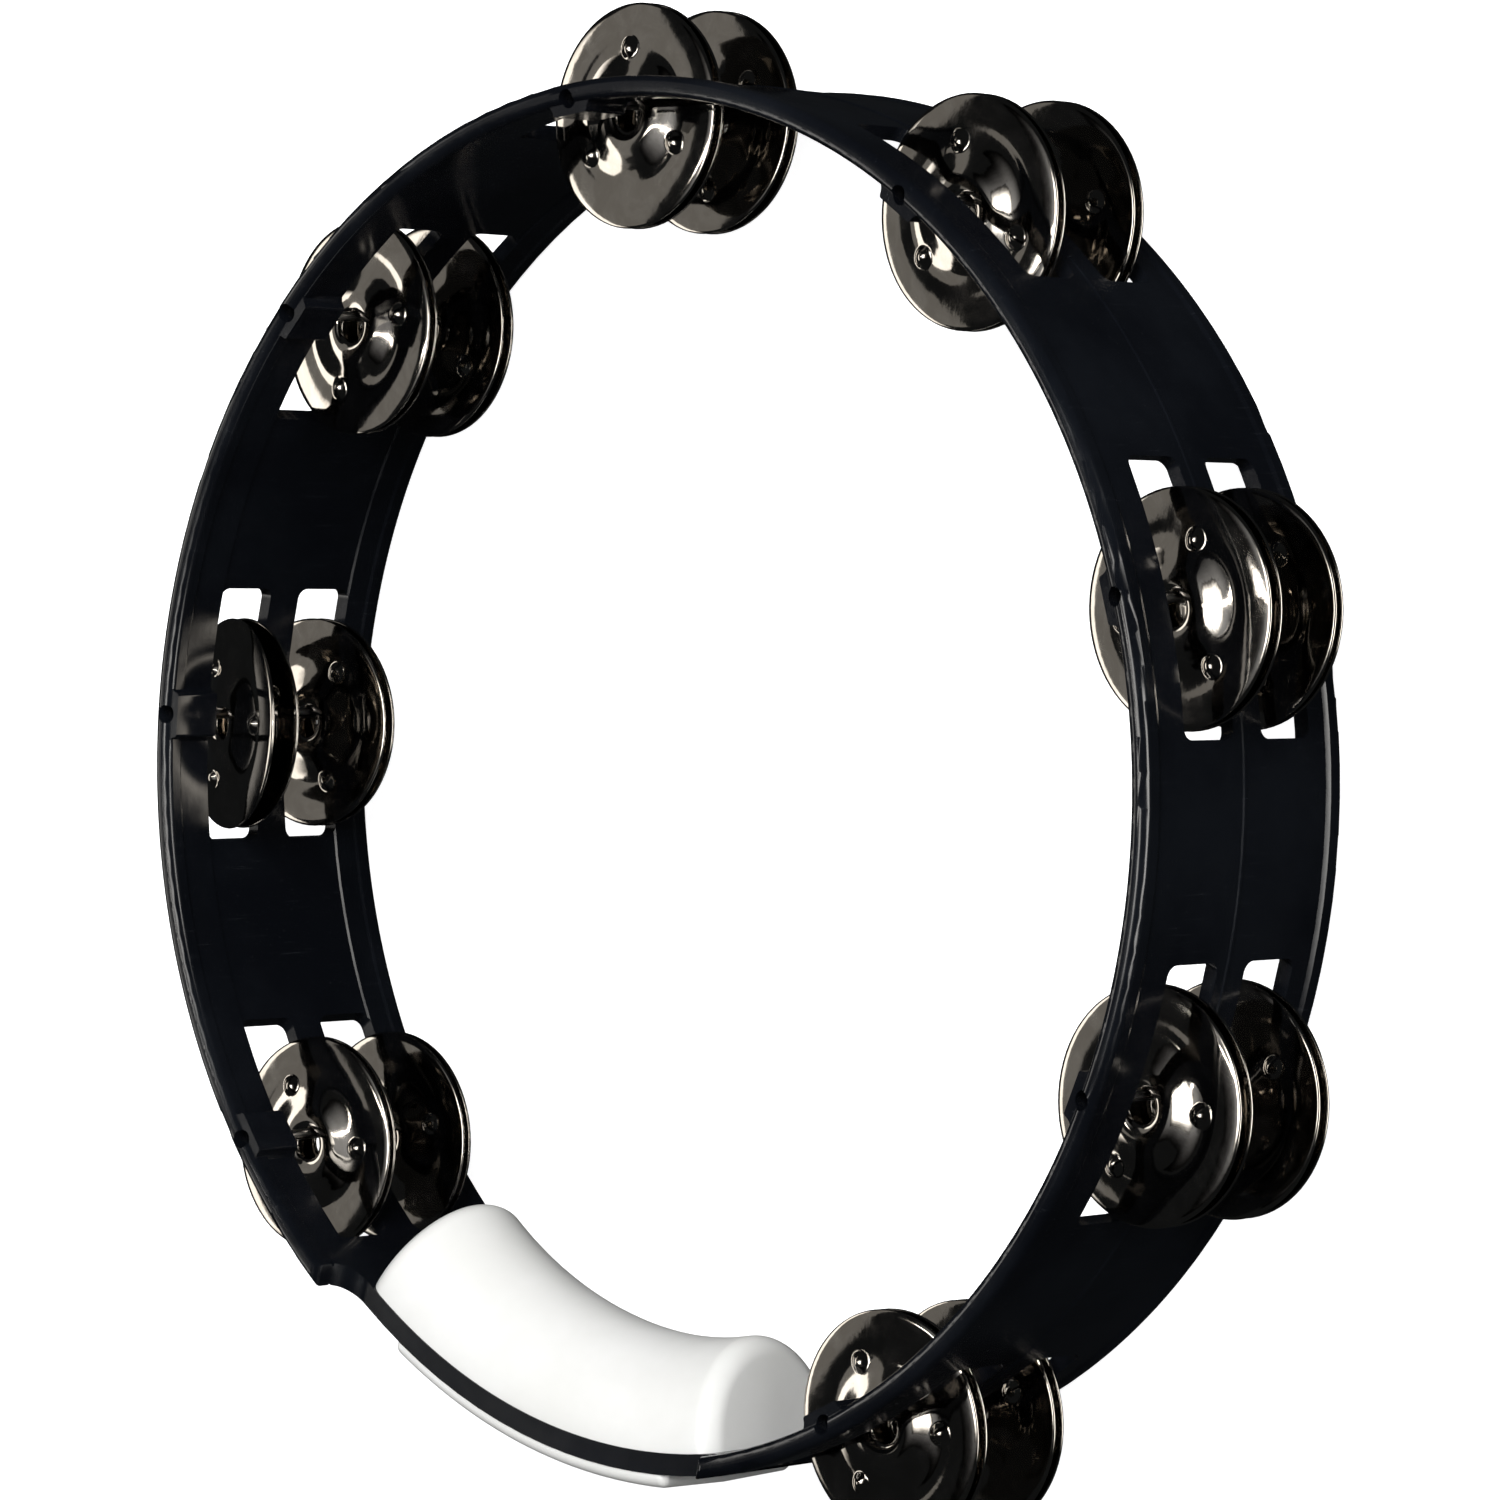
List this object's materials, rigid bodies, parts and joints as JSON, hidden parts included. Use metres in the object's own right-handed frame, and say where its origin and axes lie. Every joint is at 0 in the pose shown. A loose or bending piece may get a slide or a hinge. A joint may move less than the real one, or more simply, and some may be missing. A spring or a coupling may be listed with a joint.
{
  "type": "tambourine",
  "caption": "Headless ring tambourine: loose domed metal jingles on pins through a glossy plastic shell, with a padded hand grip.",
  "frame": {"origin": "centre of the bounding box on the plane the back rim rests on", "axes": "+Z is the ring's axis, towards the rim the picture shows; the hand grip is centred on -Y; +X is to the right with the grip at the bottom"},
  "size_m": [0.2855, 0.2652, 0.053],
  "materials": {
    "shell_plastic": "moulded, glossy black with a slight blue cast",
    "grip_plastic": "smooth satin white",
    "pin_steel": "plain drawn steel",
    "jingle_metal": "dark nickel mirror plate"
  },
  "bodies": {
    "shell": {"frame": "shell_plastic", "grip_inner_pad": "grip_plastic", "grip_outer_pad": "grip_plastic", "pin_1": "pin_steel", "pin_2": "pin_steel", "pin_3": "pin_steel", "pin_4": "pin_steel", "pin_5": "pin_steel", "pin_6": "pin_steel", "pin_7": "pin_steel", "pin_8": "pin_steel"},
    "jingle_1_upper_top": {"jingle_1_upper_top": "jingle_metal"},
    "jingle_1_upper_bottom": {"jingle_1_upper_bottom": "jingle_metal"},
    "jingle_1_lower_top": {"jingle_1_lower_top": "jingle_metal"},
    "jingle_1_lower_bottom": {"jingle_1_lower_bottom": "jingle_metal"},
    "jingle_2_upper_top": {"jingle_2_upper_top": "jingle_metal"},
    "jingle_2_upper_bottom": {"jingle_2_upper_bottom": "jingle_metal"},
    "jingle_2_lower_top": {"jingle_2_lower_top": "jingle_metal"},
    "jingle_2_lower_bottom": {"jingle_2_lower_bottom": "jingle_metal"},
    "jingle_3_upper_top": {"jingle_3_upper_top": "jingle_metal"},
    "jingle_3_upper_bottom": {"jingle_3_upper_bottom": "jingle_metal"},
    "jingle_3_lower_top": {"jingle_3_lower_top": "jingle_metal"},
    "jingle_3_lower_bottom": {"jingle_3_lower_bottom": "jingle_metal"},
    "jingle_4_upper_top": {"jingle_4_upper_top": "jingle_metal"},
    "jingle_4_upper_bottom": {"jingle_4_upper_bottom": "jingle_metal"},
    "jingle_4_lower_top": {"jingle_4_lower_top": "jingle_metal"},
    "jingle_4_lower_bottom": {"jingle_4_lower_bottom": "jingle_metal"},
    "jingle_5_upper_top": {"jingle_5_upper_top": "jingle_metal"},
    "jingle_5_upper_bottom": {"jingle_5_upper_bottom": "jingle_metal"},
    "jingle_5_lower_top": {"jingle_5_lower_top": "jingle_metal"},
    "jingle_5_lower_bottom": {"jingle_5_lower_bottom": "jingle_metal"},
    "jingle_6_upper_top": {"jingle_6_upper_top": "jingle_metal"},
    "jingle_6_upper_bottom": {"jingle_6_upper_bottom": "jingle_metal"},
    "jingle_6_lower_top": {"jingle_6_lower_top": "jingle_metal"},
    "jingle_6_lower_bottom": {"jingle_6_lower_bottom": "jingle_metal"},
    "jingle_7_upper_top": {"jingle_7_upper_top": "jingle_metal"},
    "jingle_7_upper_bottom": {"jingle_7_upper_bottom": "jingle_metal"},
    "jingle_7_lower_top": {"jingle_7_lower_top": "jingle_metal"},
    "jingle_7_lower_bottom": {"jingle_7_lower_bottom": "jingle_metal"},
    "jingle_8_upper_top": {"jingle_8_upper_top": "jingle_metal"},
    "jingle_8_upper_bottom": {"jingle_8_upper_bottom": "jingle_metal"},
    "jingle_8_lower_top": {"jingle_8_lower_top": "jingle_metal"},
    "jingle_8_lower_bottom": {"jingle_8_lower_bottom": "jingle_metal"}
  },
  "joints": [
    {"name": "slide_1_upper_top", "type": "slide", "parent": "shell", "child": "jingle_1_upper_top", "axis": [0, 0, 1], "range_m": [-0.00066, 0.00446]},
    {"name": "slide_1_upper_bottom", "type": "slide", "parent": "shell", "child": "jingle_1_upper_bottom", "axis": [0, 0, 1], "range_m": [-0.00078, 0.00066]},
    {"name": "slide_1_lower_top", "type": "slide", "parent": "shell", "child": "jingle_1_lower_top", "axis": [0, 0, 1], "range_m": [-0.00061, 0.00468]},
    {"name": "slide_1_lower_bottom", "type": "slide", "parent": "shell", "child": "jingle_1_lower_bottom", "axis": [0, 0, 1], "range_m": [-0.00071, 0.00061]},
    {"name": "slide_2_upper_top", "type": "slide", "parent": "shell", "child": "jingle_2_upper_top", "axis": [0, 0, 1], "range_m": [-0.00096, 0.00428]},
    {"name": "slide_2_upper_bottom", "type": "slide", "parent": "shell", "child": "jingle_2_upper_bottom", "axis": [0, 0, 1], "range_m": [-0.00041, 0.00096]},
    {"name": "slide_2_lower_top", "type": "slide", "parent": "shell", "child": "jingle_2_lower_top", "axis": [0, 0, 1], "range_m": [-0.00066, 0.00508]},
    {"name": "slide_2_lower_bottom", "type": "slide", "parent": "shell", "child": "jingle_2_lower_bottom", "axis": [0, 0, 1], "range_m": [-0.00021, 0.00066]},
    {"name": "slide_3_upper_top", "type": "slide", "parent": "shell", "child": "jingle_3_upper_top", "axis": [0, 0, 1], "range_m": [-0.00086, 0.00353]},
    {"name": "slide_3_upper_bottom", "type": "slide", "parent": "shell", "child": "jingle_3_upper_bottom", "axis": [0, 0, 1], "range_m": [-0.00126, 0.00086]},
    {"name": "slide_3_lower_top", "type": "slide", "parent": "shell", "child": "jingle_3_lower_top", "axis": [0, 0, 1], "range_m": [-0.0005, 0.00011]},
    {"name": "slide_3_lower_bottom", "type": "slide", "parent": "shell", "child": "jingle_3_lower_bottom", "axis": [0, 0, 1], "range_m": [-0.00571, 0.0005]},
    {"name": "slide_4_upper_top", "type": "slide", "parent": "shell", "child": "jingle_4_upper_top", "axis": [0, 0, 1], "range_m": [-0.00055, 0.00493]},
    {"name": "slide_4_upper_bottom", "type": "slide", "parent": "shell", "child": "jingle_4_upper_bottom", "axis": [0, 0, 1], "range_m": [-0.00083, 0.00055]},
    {"name": "slide_4_lower_top", "type": "slide", "parent": "shell", "child": "jingle_4_lower_top", "axis": [0, 0, 1], "range_m": [-0.0007, 0.00483]},
    {"name": "slide_4_lower_bottom", "type": "slide", "parent": "shell", "child": "jingle_4_lower_bottom", "axis": [0, 0, 1], "range_m": [-0.00063, 0.0007]},
    {"name": "slide_5_upper_top", "type": "slide", "parent": "shell", "child": "jingle_5_upper_top", "axis": [0, 0, 1], "range_m": [-0.00061, 0.00421]},
    {"name": "slide_5_upper_bottom", "type": "slide", "parent": "shell", "child": "jingle_5_upper_bottom", "axis": [0, 0, 1], "range_m": [-0.00123, 0.00061]},
    {"name": "slide_5_lower_top", "type": "slide", "parent": "shell", "child": "jingle_5_lower_top", "axis": [0, 0, 1], "range_m": [-0.00071, 0.00351]},
    {"name": "slide_5_lower_bottom", "type": "slide", "parent": "shell", "child": "jingle_5_lower_bottom", "axis": [0, 0, 1], "range_m": [-0.00173, 0.00071]},
    {"name": "slide_6_upper_top", "type": "slide", "parent": "shell", "child": "jingle_6_upper_top", "axis": [0, 0, 1], "range_m": [-0.00041, 0.00536]},
    {"name": "slide_6_upper_bottom", "type": "slide", "parent": "shell", "child": "jingle_6_upper_bottom", "axis": [0, 0, 1], "range_m": [-0.00038, 0.00041]},
    {"name": "slide_6_lower_top", "type": "slide", "parent": "shell", "child": "jingle_6_lower_top", "axis": [0, 0, 1], "range_m": [-0.00071, 0.00438]},
    {"name": "slide_6_lower_bottom", "type": "slide", "parent": "shell", "child": "jingle_6_lower_bottom", "axis": [0, 0, 1], "range_m": [-0.00081, 0.00071]},
    {"name": "slide_7_upper_top", "type": "slide", "parent": "shell", "child": "jingle_7_upper_top", "axis": [0, 0, 1], "range_m": [-0.00028, 0.00241]},
    {"name": "slide_7_upper_bottom", "type": "slide", "parent": "shell", "child": "jingle_7_upper_bottom", "axis": [0, 0, 1], "range_m": [-0.00016, 0.00028]},
    {"name": "slide_7_lower_top", "type": "slide", "parent": "shell", "child": "jingle_7_lower_top", "axis": [0, 0, 1], "range_m": [-0.00066, 0.00483]},
    {"name": "slide_7_lower_bottom", "type": "slide", "parent": "shell", "child": "jingle_7_lower_bottom", "axis": [0, 0, 1], "range_m": [-0.00036, 0.00066]},
    {"name": "slide_8_upper_top", "type": "slide", "parent": "shell", "child": "jingle_8_upper_top", "axis": [0, 0, 1], "range_m": [-0.00031, 0.00571]},
    {"name": "slide_8_upper_bottom", "type": "slide", "parent": "shell", "child": "jingle_8_upper_bottom", "axis": [0, 0, 1], "range_m": [-0.00013, 0.00031]},
    {"name": "slide_8_lower_top", "type": "slide", "parent": "shell", "child": "jingle_8_lower_top", "axis": [0, 0, 1], "range_m": [-0.00036, 0.00568]},
    {"name": "slide_8_lower_bottom", "type": "slide", "parent": "shell", "child": "jingle_8_lower_bottom", "axis": [0, 0, 1], "range_m": [-0.00021, 0.00036]}
  ]
}
